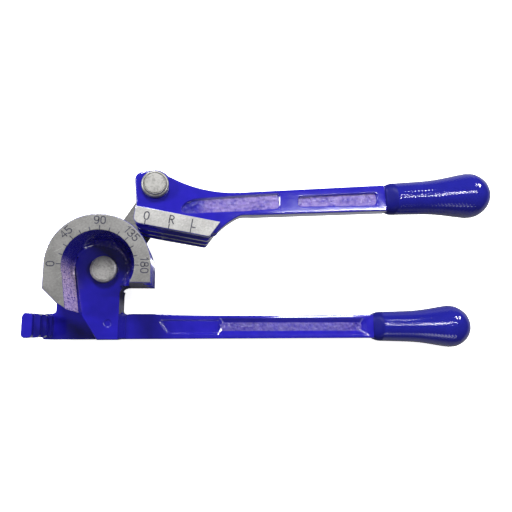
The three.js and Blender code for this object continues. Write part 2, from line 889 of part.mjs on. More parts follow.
function gripAlongX() {
  const profile = gripProfileShares.map(([along, out]) => [out * gripRadius, along * gripLength]);
  const points = [[0, 0], ...profile, [0, gripLength]].map(([r, z]) => new THREE.Vector2(r, z));
  const geometry = new THREE.LatheGeometry(points, arcSteps);
  geometry.rotateZ(-Math.PI / 2);
  return solid(geometry);
}

function bodyGrip() {
  const pocket = tang(gripFit);
  const start = barEndAt + gripFit;
  const moved = gripAlongX().translate([start, 0, 0]).subtract(pocket.translate([barEndAt, 0, 0]));
  return moved.translate([0, -barMiddleDrop, barThick / 2]);
}

function leverGrip() {
  const { middle, slope } = leverAxis();
  const whole = gripAlongX()
    .translate([gripFit, 0, 0])
    .rotate([0, 0, THREE.MathUtils.radToDeg(slope)])
    .translate([middle.x, middle.y, gripMiddle]);
  return whole.subtract(leverTang(gripFit)).translate([pinCentre.x, pinCentre.y, 0]);
}

const bender = new THREE.Group();
bender.name = "lever_tube_bender";
bender.add(part("bender_body", benderBody(), bluePaint()));
bender.add(part("body_grip", bodyGrip(), blueRubber()));
bender.add(part("lever_casting", leverCasting(), bluePaint()));
bender.add(part("lever_grip", leverGrip(), blueRubber()));
bender.add(part("link_plate", linkPlate(), platedSteel()));
bender.add(part("wheel_pin", pin(hubFront, 0, 0), platedSteel()));
bender.add(part("lever_pin", pin(leverFront, pinCentre.x, pinCentre.y), platedSteel()));
bender.add(part("wheel_pin_washer", washer(0, 0), platedSteel()));
bender.add(part("lever_pin_washer", washer(pinCentre.x, pinCentre.y), platedSteel()));
bender.add(part("wheel_pin_clip", clip(0, 0), springSteel()));
bender.add(part("lever_pin_clip", clip(pinCentre.x, pinCentre.y), springSteel()));

export default bender;
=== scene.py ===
"""Finishes of a lever tube bender: painted castings, machined scale, knurled grips and plated pins.

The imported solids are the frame. Lengths in the settings are metres, as everywhere in Blender here.
"""

import math

import bpy
import numpy as np
from mathutils import Euler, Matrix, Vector


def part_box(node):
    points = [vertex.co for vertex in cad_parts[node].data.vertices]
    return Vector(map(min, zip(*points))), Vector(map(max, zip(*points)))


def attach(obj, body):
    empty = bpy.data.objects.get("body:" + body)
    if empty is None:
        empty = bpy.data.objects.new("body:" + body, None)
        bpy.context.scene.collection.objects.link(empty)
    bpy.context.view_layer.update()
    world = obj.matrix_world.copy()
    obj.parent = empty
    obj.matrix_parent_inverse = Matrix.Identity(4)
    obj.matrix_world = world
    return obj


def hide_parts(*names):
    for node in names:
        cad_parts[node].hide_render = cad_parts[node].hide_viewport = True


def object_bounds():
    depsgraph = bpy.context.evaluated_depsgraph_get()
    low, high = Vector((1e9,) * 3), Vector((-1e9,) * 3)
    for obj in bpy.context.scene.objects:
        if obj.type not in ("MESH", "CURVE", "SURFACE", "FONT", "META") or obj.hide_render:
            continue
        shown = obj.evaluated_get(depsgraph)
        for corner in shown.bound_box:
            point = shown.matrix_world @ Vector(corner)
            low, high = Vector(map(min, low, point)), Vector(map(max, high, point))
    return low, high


bl_info = {
    "name": "Lever Tube Bender Finishes",
    "version": (1, 0, 0),
    "blender": (4, 5, 0),
    "location": "3D View > Sidebar > Bender",
    "description": "Dresses the solids of a lever tube bender with paint, marks, grips and pins",
    "category": "Object",
}

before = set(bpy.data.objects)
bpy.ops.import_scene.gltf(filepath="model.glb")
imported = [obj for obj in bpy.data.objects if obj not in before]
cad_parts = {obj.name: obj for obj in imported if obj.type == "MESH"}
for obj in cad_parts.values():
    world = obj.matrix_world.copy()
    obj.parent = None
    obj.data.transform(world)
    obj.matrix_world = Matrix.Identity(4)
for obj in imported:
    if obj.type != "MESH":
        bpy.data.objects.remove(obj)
CAD_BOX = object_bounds()

MM = 0.001
TURN = 2 * math.pi


def metres(name, description, default):
    """A length in metres that the user may change."""
    return bpy.props.FloatProperty(
        name=name,
        description=description,
        default=default,
        unit="LENGTH",
        subtype="DISTANCE",
        precision=5,
    )


def share(name, description, default):
    """A plain number between nothing and one."""
    return bpy.props.FloatProperty(
        name=name, description=description, default=default, min=0, max=1, subtype="FACTOR"
    )


def colour(name, description, default):
    """A colour in linear light."""
    return bpy.props.FloatVectorProperty(
        name=name, description=description, default=default, size=3, min=0, max=1, subtype="COLOR"
    )


class BenderPaintSettings(bpy.types.PropertyGroup):
    """Paint on the two castings and the bare places machined through it."""

    paint: colour("Paint", "Colour of the blue paint", (0.0150, 0.0092, 0.340))
    deep: colour("Deep paint", "Colour where the paint lies thick in corners", (0.0080, 0.0062, 0.235))
    # Painted sheen: this pale violet stands in for the lamp's reflection on the rough floors.
    thin: colour("Painted floor sheen", "Colour where little paint has settled", (0.25, 0.19, 0.46))
    # Painted light: this pale colour stands in for the light that falls on the bowl's left wall.
    chalk: colour("Painted wall light", "Colour of the pale dry paint in the bowl", (0.95, 0.72, 1.0))
    bare: colour("Bare metal", "Colour of the machined faces", (0.305, 0.302, 0.296))
    scratch: colour("Scratch", "Colour of a fresh scratch in bare metal", (0.75, 0.75, 0.74))
    peel: metres("Orange peel", "Width of the waves in the dried paint", 1.5 * MM)
    grain: metres("Casting grain", "Width of the lumps on rough cast walls", 1.8 * MM)
    edge: metres("Edge rounding", "Radius that the light sees on the cast edges", 0.6 * MM)
    face: metres("Face height", "Height of the machined faces", 44.02 * MM)
    smooth: bpy.props.FloatProperty(
        name="Smooth below",
        description="Edges flatter than this angle are shaded smooth",
        default=math.radians(32),
        subtype="ANGLE",
    )


class BenderGripSettings(bpy.types.PropertyGroup):
    """The two knurled sleeves."""

    sleeve: colour("Sleeve", "Colour of the sleeves", (0.0105, 0.0110, 0.205))
    length: metres("Length", "From mouth to end", 57.8 * MM)
    radius: metres("Radius", "At the widest place", 11.6 * MM)
    overlap: metres("Overlap", "How far the mouth laps the bar", 0.5 * MM)
    pitch: metres("Pitch", "From one diamond to the next along the sleeve", 1.8 * MM)
    relief: metres("Relief", "Height of the diamonds", 0.08 * MM)
    starts: bpy.props.IntProperty(
        name="Diamonds round", description="Diamonds in one turn", default=30, min=6
    )
    knurl_from: share("Knurl from", "Where the diamonds begin, as a share of the length", 0.085)
    knurl_to: share("Knurl to", "Where the diamonds end, as a share of the length", 0.83)


class BenderMarkSettings(bpy.types.PropertyGroup):
    """Ticks, numbers and letters filled with dark paint."""

    ink: colour("Ink", "Colour of the filled marks", (0.018, 0.018, 0.03))
    height: metres("Digit height", "Height of a number on the scale", 3.25 * MM)
    shoe_height: metres("Shoe digit height", "Height of a mark on the shoe", 3.5 * MM)
    stroke: metres("Stroke", "Width of a digit's line", 0.58 * MM)
    tick_width: metres("Tick width", "Width of a tick on the scale", 0.5 * MM)
    shoe_tick_width: metres("Shoe tick width", "Width of a tick on the shoe", 0.52 * MM)
    tick: metres("Tick", "Length of a short tick", 1.3 * MM)
    long_tick: metres("Long tick", "Length of a tick that has a number", 1.65 * MM)
    ring: metres("Number ring", "Radius on which the numbers stand", 20.0 * MM)
    inner: metres("Inner edge", "Radius where the ticks begin", 15.75 * MM)
    thick: metres("Thickness", "How far the ink stands up", 0.03 * MM)


class BenderPinSettings(bpy.types.PropertyGroup):
    """Turned pins with plain round heads."""

    steel: colour("Steel", "Colour of the plated steel", (0.38, 0.375, 0.36))
    speck: colour("Speck", "Colour of the specks on the steel", (0.3, 0.28, 0.25))
    clip: colour("Clip", "Colour of the dark spring clips", (0.12, 0.12, 0.13))
    shank: metres("Shank radius", "Radius of the shank", 4 * MM)
    head: metres("Head radius", "Radius of the head", 6.25 * MM)
    thick: metres("Head thickness", "Thickness of the head", 3.6 * MM)
    rounding: metres("Rounding", "Radius of the head's rim", 0.75 * MM)
    play: metres("Play", "Room between the head and the casting in front of which it lies", 0.3 * MM)


class BenderStageSettings(bpy.types.PropertyGroup):
    """Floor, lights and camera."""

    floor: colour("Floor", "Colour of the floor", (0.93, 0.93, 0.93))
    sky: share("Fill light", "Strength of the light from all round", 0.08)
    glow: share("Floor glow", "How much light the pale floor gives by itself", 0.92)
    bounce: share("Floor bounce", "Share of the light that the floor throws back up", 0.30)
    lens: bpy.props.FloatProperty(
        name="Lens", description="Focal length in millimetres", default=35.0156, min=1
    )
    drop: metres("Floor gap", "Room between the lowest point and the floor", 0.2 * MM)


class BenderSettings(bpy.types.PropertyGroup):
    """All settings in one place."""

    paint: bpy.props.PointerProperty(type=BenderPaintSettings)
    grip: bpy.props.PointerProperty(type=BenderGripSettings)
    mark: bpy.props.PointerProperty(type=BenderMarkSettings)
    pin: bpy.props.PointerProperty(type=BenderPinSettings)
    stage: bpy.props.PointerProperty(type=BenderStageSettings)


def finish_settings():
    """The settings of every group, as kept in the scene."""
    return bpy.context.scene.bender


# Meshes from arrays.


def outward(points, faces):
    """Turns the faces round if the volume that they enclose comes out negative.

    The volume is a sixth of the sum of each triangle's first corner dotted with the cross
    product of the other two, a quad counting as two triangles.
    """
    volume = 0.0
    for group in faces:
        for k in range(1, group.shape[1] - 1):
            a, b, c = points[group[:, 0]], points[group[:, k]], points[group[:, k + 1]]
            volume += np.einsum("ij,ij->", a, np.cross(b, c))
    return [group[:, ::-1] for group in faces] if volume < 0 else faces


def make_piece(name, points, faces, material, body, slot, sharp):
    """Puts arrays of points and faces into a mesh object that rides on a body.

    Edges steeper than the angle sharp stay crisp.
    """
    mesh = bpy.data.meshes.new(name)
    rows = [row for group in faces for row in group.tolist()]
    mesh.from_pydata(points.tolist(), [], rows)
    mesh.validate()
    mesh.shade_smooth()
    mesh.set_sharp_from_angle(angle=sharp)
    mesh.materials.append(material)
    piece = bpy.data.objects.new(name, mesh)
    bpy.context.scene.collection.objects.link(piece)
    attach(piece, body)
    return piece


def ring_faces(rows, columns):
    """Quads between the rings of a grid whose columns go all the way round."""
    row, column = np.meshgrid(np.arange(rows - 1), np.arange(columns), indexing="ij")
    here = row * columns + column
    beside = row * columns + (column + 1) % columns
    return np.stack([here, beside, beside + columns, here + columns], axis=-1).reshape(-1, 4)


def closed_rings(grid, first, last):
    """Closes a grid of rings with a pole at each end.

    grid has one ring a row. Each pole is joined to its ring by a fan of triangles.
    """
    rows, columns = grid.shape[:2]
    points = np.concatenate([grid.reshape(-1, 3), [first, last]])
    column = np.arange(columns)
    after = (column + 1) % columns
    low, high = rows * columns, rows * columns + 1
    top = (rows - 1) * columns
    start = np.stack([after, column, np.full(columns, low)], axis=-1)
    end = np.stack([top + column, top + after, np.full(columns, high)], axis=-1)
    faces = [ring_faces(rows, columns), np.concatenate([start, end])]
    return points, outward(points, faces)


def revolve(profile, steps):
    """Turns pairs of radius and height about Z.

    A point goes to radius times the cosine and the sine of the angle, at its own height.
    """
    angle = np.linspace(0, TURN, steps, endpoint=False)
    radius = profile[:, :1]
    height = np.repeat(profile[:, 1:2], steps, axis=1)
    return np.stack([radius * np.cos(angle), radius * np.sin(angle), height], axis=-1)


def joined(bodies):
    """One list of points and faces from several closed bodies."""
    points, quads, tris, base = [], [], [], 0
    for body_points, body_faces in bodies:
        points.append(body_points)
        for group in body_faces:
            (quads if group.shape[1] == 4 else tris).append(group + base)
        base += len(body_points)
    faces = [np.concatenate(group) for group in (quads, tris) if group]
    return np.concatenate(points), faces


def curve_through(knots, count):
    """Points on a smooth curve through the knots, with tangents from each knot's neighbours.

    Between two knots the curve is the cubic whose value and slope match at both: the slope at a
    knot is half the step from the knot before it to the knot after it.
    """
    before = np.vstack([2 * knots[:1] - knots[1:2], knots])
    padded = np.vstack([before, 2 * knots[-1:] - knots[-2:-1]])
    place = np.linspace(0, len(knots) - 1, count)
    index = np.minimum(place.astype(int), len(knots) - 2)
    t = (place - index)[:, None]
    p0, p1, p2, p3 = (padded[index + k] for k in range(4))
    even = 2 * p1 + (p2 - p0) * t
    bent = (2 * p0 - 5 * p1 + 4 * p2 - p3) * t**2 + (3 * p1 - p0 - 3 * p2 + p3) * t**3
    return (even + bent) / 2


# Shader building.


def feed(tree, socket, source):
    """Links a socket to a source, or sets it to a plain value or an opaque colour."""
    if isinstance(source, bpy.types.NodeSocket):
        tree.links.new(source, socket)
    elif socket.type == "RGBA":
        socket.default_value = (*source[:3], 1)
    else:
        socket.default_value = source


def scaled(tone, tint):
    """A colour with every part multiplied by the tone."""
    return tuple(tone * part for part in tint)


def calc(tree, operation, *sources):
    """One Math node."""
    made = tree.nodes.new("ShaderNodeMath")
    made.operation = operation
    for socket, source in zip(made.inputs, sources):
        feed(tree, socket, source)
    return made.outputs[0]


def ramp(tree, value, low, high):
    """Nought below one value, one above the other and smooth between them."""
    made = tree.nodes.new("ShaderNodeMapRange")
    made.interpolation_type = "SMOOTHSTEP"
    feed(tree, made.inputs["Value"], value)
    feed(tree, made.inputs["From Min"], low)
    feed(tree, made.inputs["From Max"], high)
    return made.outputs["Result"]


def below(tree, value, limit, soft):
    """One below the limit and nought above it."""
    return calc(tree, "SUBTRACT", 1.0, ramp(tree, value, limit - soft, limit + soft))


def between(tree, value, low, high, soft):
    """One inside a range of values and nought outside it."""
    above = ramp(tree, value, low - soft, low + soft)
    return calc(tree, "MULTIPLY", above, below(tree, value, high, soft))


def both(tree, *masks):
    """One where every mask is one."""
    result = masks[0]
    for mask in masks[1:]:
        result = calc(tree, "MULTIPLY", result, mask)
    return result


def either(tree, *masks):
    """One where any mask is one."""
    result = masks[0]
    for mask in masks[1:]:
        result = calc(tree, "MAXIMUM", result, mask)
    return result


def mixed(tree, amount, first, second):
    """A blend of two colours."""
    made = tree.nodes.new("ShaderNodeMix")
    made.data_type = "RGBA"
    feed(tree, made.inputs[0], amount)
    feed(tree, made.inputs[6], first)
    feed(tree, made.inputs[7], second)
    return made.outputs[2]


def blended(tree, amount, first, second):
    """A blend of two numbers."""
    made = tree.nodes.new("ShaderNodeMix")
    made.data_type = "FLOAT"
    feed(tree, made.inputs[0], amount)
    feed(tree, made.inputs[2], first)
    feed(tree, made.inputs[3], second)
    return made.outputs[0]


def noise(tree, place, size, detail=2.0, rough=0.5):
    """Soft random lumps about as wide as the given size in metres."""
    made = tree.nodes.new("ShaderNodeTexNoise")
    made.inputs["Scale"].default_value = 1 / size
    made.inputs["Detail"].default_value = detail
    made.inputs["Roughness"].default_value = rough
    feed(tree, made.inputs["Vector"], place)
    return made.outputs["Fac"]


def stretched(tree, place, along, across, up, turn=0.0):
    """The place turned about Z and then scaled, so that a pattern on it is drawn out."""
    made = tree.nodes.new("ShaderNodeMapping")
    made.vector_type = "TEXTURE"
    made.inputs["Rotation"].default_value = (0, 0, turn)
    made.inputs["Scale"].default_value = (along, across, up)
    feed(tree, made.inputs["Vector"], place)
    return made.outputs["Vector"]


def new_group(name, inputs, outputs):
    """An empty node group with named number or vector sockets."""
    tree = bpy.data.node_groups.new(name, "ShaderNodeTree")
    for label, kind in inputs:
        tree.interface.new_socket(name=label, in_out="INPUT", socket_type=kind)
    for label, kind in outputs:
        tree.interface.new_socket(name=label, in_out="OUTPUT", socket_type=kind)
    return tree, tree.nodes.new("NodeGroupInput"), tree.nodes.new("NodeGroupOutput")


def group_orange_peel():
    """Long waves and a little fine unevenness, as in sprayed paint that has flowed out."""
    tree, source, result = new_group(
        "orange_peel",
        [("Place", "NodeSocketVector"), ("Fineness", "NodeSocketFloat")],
        [("Height", "NodeSocketFloat"), ("Tone", "NodeSocketFloat")],
    )
    wide = noise(tree, source.outputs["Place"], 4.5 * MM, 1.0)
    waves = tree.nodes.new("ShaderNodeTexNoise")
    waves.inputs["Detail"].default_value = 1.0
    tree.links.new(source.outputs["Place"], waves.inputs["Vector"])
    tree.links.new(source.outputs["Fineness"], waves.inputs["Scale"])
    height = calc(tree, "MULTIPLY_ADD", wide, 0.6, waves.outputs["Fac"])
    tree.links.new(height, result.inputs["Height"])
    tree.links.new(wide, result.inputs["Tone"])
    return tree


def group_cast_grain():
    """Lumps of two sizes with pits between them, as on a rough wall of a die casting."""
    tree, source, result = new_group(
        "cast_grain",
        [("Place", "NodeSocketVector"), ("Fineness", "NodeSocketFloat")],
        [("Height", "NodeSocketFloat"), ("Pits", "NodeSocketFloat")],
    )
    lumps = tree.nodes.new("ShaderNodeTexVoronoi")
    lumps.feature = "SMOOTH_F1"
    lumps.inputs["Smoothness"].default_value = 0.35
    tree.links.new(source.outputs["Place"], lumps.inputs["Vector"])
    tree.links.new(source.outputs["Fineness"], lumps.inputs["Scale"])
    fine = noise(tree, source.outputs["Place"], 0.3 * MM, 2.0, 0.6)
    height = calc(tree, "MULTIPLY_ADD", fine, 0.5, lumps.outputs["Distance"])
    tree.links.new(height, result.inputs["Height"])
    tree.links.new(ramp(tree, lumps.outputs["Distance"], 0.35, 0.75), result.inputs["Pits"])
    return tree


def group_surface_wear():
    """Thin scratches, smudges from hands and specks of dust, each as a mask."""
    tree, source, result = new_group(
        "surface_wear",
        [("Place", "NodeSocketVector"), ("Amount", "NodeSocketFloat")],
        [("Smudge", "NodeSocketFloat"), ("Specks", "NodeSocketFloat"), ("Scratch", "NodeSocketFloat")],
    )
    place = source.outputs["Place"]
    smudge = ramp(tree, noise(tree, place, 11 * MM, 3.0, 0.6), 0.42, 0.68)
    specks = ramp(tree, noise(tree, place, 0.45 * MM, 0.0), 0.76, 0.82)
    lines = noise(tree, stretched(tree, place, 9 * MM, 0.22 * MM, 9 * MM, 0.5), 1.0, 1.0)
    scratch = ramp(tree, lines, 0.70, 0.76)
    for label, mask in (("Smudge", smudge), ("Specks", specks), ("Scratch", scratch)):
        seen = calc(tree, "MULTIPLY", mask, source.outputs["Amount"])
        tree.links.new(seen, result.inputs[label])
    return tree


def group_cutter_lines():
    """Fine parallel lines with mottling, as a milled or ground face has."""
    tree, source, result = new_group(
        "cutter_lines",
        [("Place", "NodeSocketVector"), ("Depth", "NodeSocketFloat")],
        [("Height", "NodeSocketFloat"), ("Tone", "NodeSocketFloat")],
    )
    place = source.outputs["Place"]
    lines = noise(tree, stretched(tree, place, 14 * MM, 0.16 * MM, 14 * MM), 1.0, 3.0, 0.6)
    mottle = noise(tree, place, 0.9 * MM, 3.0, 0.65)
    wide = noise(tree, place, 7 * MM, 2.0)
    tone = calc(tree, "MULTIPLY_ADD", mottle, 0.55, calc(tree, "MULTIPLY", wide, 0.45))
    height = calc(tree, "MULTIPLY", lines, source.outputs["Depth"])
    tree.links.new(height, result.inputs["Height"])
    tree.links.new(tone, result.inputs["Tone"])
    return tree


GROUPS = {
    "orange_peel": group_orange_peel,
    "cast_grain": group_cast_grain,
    "surface_wear": group_surface_wear,
    "cutter_lines": group_cutter_lines,
}


def effect(tree, name, place, amount):
    """Places a shared effect in a material. The group is built when it is first asked for."""
    made = tree.nodes.new("ShaderNodeGroup")
    made.node_tree = bpy.data.node_groups.get(name) or GROUPS[name]()
    tree.links.new(place, made.inputs[0])
    made.inputs[1].default_value = amount
    return made.outputs


def new_material(name):
    """A material with its shader, and the sockets of object place and object normal."""
    made = bpy.data.materials.new(name)
    made.use_nodes = True
    tree = made.node_tree
    shader = next(n for n in tree.nodes if n.type == "BSDF_PRINCIPLED")
    coordinates = tree.nodes.new("ShaderNodeTexCoord")
    return made, tree, shader, coordinates.outputs["Object"], coordinates.outputs["Normal"]


def axes_of(tree, vector):
    """The three parts of a vector."""
    made = tree.nodes.new("ShaderNodeSeparateXYZ")
    tree.links.new(vector, made.inputs[0])
    return made.outputs


def bump(tree, height, distance, strength=1.0, onto=None):
    """A Bump node. The height of one unit stands for the distance in metres."""
    made = tree.nodes.new("ShaderNodeBump")
    made.inputs["Distance"].default_value = distance
    feed(tree, made.inputs["Strength"], strength)
    feed(tree, made.inputs["Height"], height)
    if onto is not None:
        tree.links.new(onto, made.inputs["Normal"])
    return made.outputs["Normal"]


# Masks: where the castings are bare or rough, and where light and sheen are painted on them.

# Places on the castings.
HUB_FRONT = 24 * MM
LEVER_FRONT = 39.72 * MM
RECESS_FLOOR = LEVER_FRONT - 1.2 * MM
CHANNEL_FLOOR = 7.7 * MM
BOWL_RADIUS = 15.6 * MM
SCALE_END = -7.8 * MM

# Stretches along an axis in which the masks lie.
HOOK_ENDS_X = -24.9 * MM
SCALE_END_FROM_X = 12 * MM
SIDE_WALL_X = (-16 * MM, -9 * MM)
CHANNEL_X = (57 * MM, 134 * MM)
# Box on the bowl's left wall in which light is painted.
LIT_WALL_X = (-16.2 * MM, -10.9 * MM)
LIT_WALL_Y = (-24 * MM, 3 * MM)
LIT_WALL_Z = (23 * MM, 43.6 * MM)
# Stretch along X over which the painted sheen on the rough floors fades in.
SHEEN_BEGINS_X = (42 * MM, 50 * MM)


def facing(tree, part):
    """One where the surface looks along an axis, from that part of its normal."""
    return ramp(tree, part, 0.9, 0.965)


def machined_flat(tree, place, normal):
    """Faces at the height of the scale and of the shoe's flat that look up."""
    face = finish_settings().paint.face
    return both(
        tree,
        ramp(tree, axes_of(tree, place)[2], face - 0.06 * MM, face - 0.03 * MM),
        facing(tree, axes_of(tree, normal)[2]),
    )


def body_bare(tree, place, normal):
    """The flat of the scale and the end face at 180 degrees, but not the hook."""
    x, y, _ = axes_of(tree, place)
    flat = both(
        tree,
        machined_flat(tree, place, normal),
        ramp(tree, x, HOOK_ENDS_X - 0.1 * MM, HOOK_ENDS_X + 0.1 * MM),
    )
    end = both(
        tree,
        between(tree, y, SCALE_END - 0.1 * MM, SCALE_END + 0.1 * MM, 0.05 * MM),
        ramp(tree, x, SCALE_END_FROM_X - 0.2 * MM, SCALE_END_FROM_X + 0.2 * MM),
        facing(tree, calc(tree, "MULTIPLY", axes_of(tree, normal)[1], -1.0)),
    )
    return either(tree, flat, end)


def body_rough(tree, place, normal):
    """The walls of the bowl and the floors of the hollows in the bar."""
    x, y, z = axes_of(tree, place)
    face = finish_settings().paint.face
    squares = calc(tree, "ADD", calc(tree, "POWER", x, 2.0), calc(tree, "POWER", y, 2.0))
    radius = calc(tree, "SQRT", squares)
    dish = below(tree, radius, BOWL_RADIUS + 0.4 * MM, 0.2 * MM)
    side = both(
        tree,
        between(tree, x, *SIDE_WALL_X, 0.2 * MM),
        below(tree, y, -1 * MM, 1 * MM),
    )
    wall = both(
        tree,
        either(tree, dish, side),
        between(tree, z, HUB_FRONT + 0.3 * MM, face - 0.32 * MM, 0.2 * MM),
    )
    channel = both(
        tree,
        between(tree, x, *CHANNEL_X, 0.4 * MM),
        below(tree, z, CHANNEL_FLOOR + 0.35 * MM, 0.15 * MM),
        facing(tree, axes_of(tree, normal)[2]),
    )
    return either(tree, wall, channel)


def lever_rough(tree, place, normal):
    """The floors of the two recesses."""
    height = axes_of(tree, place)[2]
    return both(
        tree,
        between(tree, height, RECESS_FLOOR - 0.32 * MM, RECESS_FLOOR + 0.28 * MM, 0.1 * MM),
        facing(tree, axes_of(tree, normal)[2]),
    )


def rounded_edges(tree, radius):
    """The surface normal with every sharp edge eased by a radius, as paint eases it."""
    made = tree.nodes.new("ShaderNodeBevel")
    made.samples = 6
    made.inputs["Radius"].default_value = radius
    return made.outputs["Normal"]


def body_chalky(tree, place, normal):
    """Painted light on the left wall of the bowl, more so towards its foot, in streaks that run down the
    wall.
    """
    x, y, z = axes_of(tree, place)
    wall = both(
        tree,
        between(tree, x, *LIT_WALL_X, 0.3 * MM),
        between(tree, y, *LIT_WALL_Y, 3.0 * MM),
        between(tree, z, *LIT_WALL_Z, 0.6 * MM),
        ramp(tree, axes_of(tree, normal)[0], 0.0, 0.2),
    )
    streaks = noise(tree, stretched(tree, place, 0.5 * MM, 0.5 * MM, 5 * MM), 1.0, 3.0, 0.65)
    lumps = noise(tree, place, 0.8 * MM, 3.0, 0.6)
    worn = calc(tree, "MULTIPLY_ADD", lumps, 0.5, calc(tree, "MULTIPLY", streaks, 0.5))
    grade = ramp(tree, y, 8 * MM, -7 * MM)
    return both(tree, wall, grade, ramp(tree, worn, 0.36, 0.54))


def thin_paint(tree, place, normal, rough, dry):
    """Painted sheen: soft pale patches on the rough floors right of the shoe, in place of the lamp's
    reflection.
    """
    floors = both(
        tree,
        rough,
        facing(tree, axes_of(tree, normal)[2]),
        ramp(tree, axes_of(tree, place)[0], *SHEEN_BEGINS_X),
    )
    patches = ramp(tree, noise(tree, place, 3 * MM, 4.0, 0.6), 0.12, 0.66)
    return calc(tree, "MULTIPLY", both(tree, floors, patches), dry)


def painted_casting(name, bare_mask, rough_mask, painted_light_on_bare, dry, wall_light_mask=None):
    """Glossy blue paint over a die casting, with machined faces left bare.

    shine scales the brightness of the bare metal as painted light and shade, and dry the patches of
    painted sheen on the rough floors.
    """
    settings = finish_settings().paint
    made, tree, shader, place, normal = new_material(name)
    bare = bare_mask(tree, place, normal)
    painted = calc(tree, "SUBTRACT", 1.0, bare)
    rough = rough_mask(tree, place, normal)
    peel = effect(tree, "orange_peel", place, 1 / settings.peel)
    grain = effect(tree, "cast_grain", place, 1 / settings.grain)
    wear = effect(tree, "surface_wear", place, 0.35)
    lines = effect(tree, "cutter_lines", place, 1.0)
    paint = mixed(tree, peel["Tone"], settings.deep, settings.paint)
    paint = mixed(tree, both(tree, rough, grain["Pits"]), paint, settings.deep)
    # Painted sheen: pale patches on the rough floors stand in for the lamp's reflection in them.
    paint = mixed(tree, thin_paint(tree, place, normal, rough, dry), paint, settings.thin)
    if wall_light_mask is not None:
        # Painted light: the bowl's left wall is painted pale, brighter towards its foot.
        paint = mixed(tree, wall_light_mask(tree, place, normal), paint, settings.chalk)
    # The bare metal's brightness is scaled per casting, as painted shade on the body and painted light
    # on the lever.
    light = scaled(painted_light_on_bare, settings.bare)
    metal = mixed(tree, ramp(tree, lines["Tone"], 0.3, 0.72), scaled(0.62, light), light)
    metal = mixed(tree, wear["Scratch"], metal, settings.scratch)
    feed(tree, shader.inputs["Base Color"], mixed(tree, bare, paint, metal))
    feed(tree, shader.inputs["Metallic"], calc(tree, "MULTIPLY", bare, 0.55))
    paint_rough = calc(tree, "MULTIPLY_ADD", wear["Smudge"], 0.10, 0.13)
    paint_rough = calc(tree, "MULTIPLY_ADD", rough, -0.03, paint_rough)
    feed(tree, shader.inputs["Roughness"], blended(tree, bare, paint_rough, 0.5))
    feed(tree, shader.inputs["Coat Weight"], painted)
    shader.inputs["Coat Roughness"].default_value = 0.05
    shader.inputs["Coat IOR"].default_value = 1.6
    onto = rounded_edges(tree, settings.edge)
    onto = bump(tree, peel["Height"], 0.05 * MM, calc(tree, "MULTIPLY", painted, 0.5), onto)
    onto = bump(tree, grain["Height"], 0.80 * MM, rough, onto)
    onto = bump(tree, lines["Height"], 0.012 * MM, bare, onto)
    feed(tree, shader.inputs["Normal"], onto)
    return made


def sleeve_plastic(name, tone, roughness, specular):
    """Soft plastic with a fine skin, duller where hands have held it."""
    full = scaled(tone, finish_settings().grip.sleeve)
    made, tree, shader, place, _ = new_material(name)
    wear = effect(tree, "surface_wear", place, 0.4)
    skin = effect(tree, "orange_peel", place, 1 / (0.8 * MM))
    feed(tree, shader.inputs["Base Color"], mixed(tree, skin["Tone"], scaled(0.75, full), full))
    feed(tree, shader.inputs["Roughness"], calc(tree, "MULTIPLY_ADD", wear["Smudge"], 0.06, roughness))
    shader.inputs["Specular IOR Level"].default_value = specular
    feed(tree, shader.inputs["Normal"], bump(tree, skin["Height"], 0.02 * MM, 0.4))
    return made


def plated_steel(name, steel, roughness):
    """Plated steel with turning marks, mottling and a few specks."""
    made, tree, shader, place, _ = new_material(name)
    wear = effect(tree, "surface_wear", place, 0.5)
    lines = effect(tree, "cutter_lines", place, 1.0)
    body = mixed(tree, ramp(tree, lines["Tone"], 0.34, 0.56), scaled(0.5, steel), steel)
    body = mixed(tree, wear["Specks"], body, finish_settings().pin.speck)
    feed(tree, shader.inputs["Base Color"], body)
    shader.inputs["Metallic"].default_value = 0.6
    feed(tree, shader.inputs["Roughness"], calc(tree, "MULTIPLY_ADD", wear["Smudge"], 0.2, roughness))
    feed(tree, shader.inputs["Normal"], bump(tree, lines["Tone"], 0.05 * MM, 0.5))
    return made


def mark_ink():
    """Matt dark filling that has worn thin in places."""
    made, tree, shader, place, _ = new_material("mark_ink")
    ink = finish_settings().mark.ink
    worn = ramp(tree, noise(tree, place, 0.8 * MM, 2.0), 0.45, 0.7)
    feed(tree, shader.inputs["Base Color"], mixed(tree, worn, ink, scaled(2.6, ink)))
    shader.inputs["Roughness"].default_value = 0.7
    return made


def floor_paper():
    """Pale paper, almost even, that looks brighter than the light it throws back."""
    settings = finish_settings().stage
    made, tree, shader, place, _ = new_material("floor_paper")
    fibre = noise(tree, place, 2.5 * MM, 4.0)
    shader.inputs["Roughness"].default_value = 0.9
    shader.inputs["Specular IOR Level"].default_value = 0.0
    shader.inputs["Emission Color"].default_value = (1, 1, 1, 1)
    seen = tree.nodes.new("ShaderNodeLightPath").outputs["Is Camera Ray"]
    glow = calc(tree, "MULTIPLY", seen, settings.glow)
    paper = mixed(tree, fibre, scaled(0.985, settings.floor), settings.floor)
    shade = scaled(settings.bounce, settings.floor)
    feed(tree, shader.inputs["Base Color"], mixed(tree, seen, shade, paper))
    feed(tree, shader.inputs["Emission Strength"], glow)
    return made


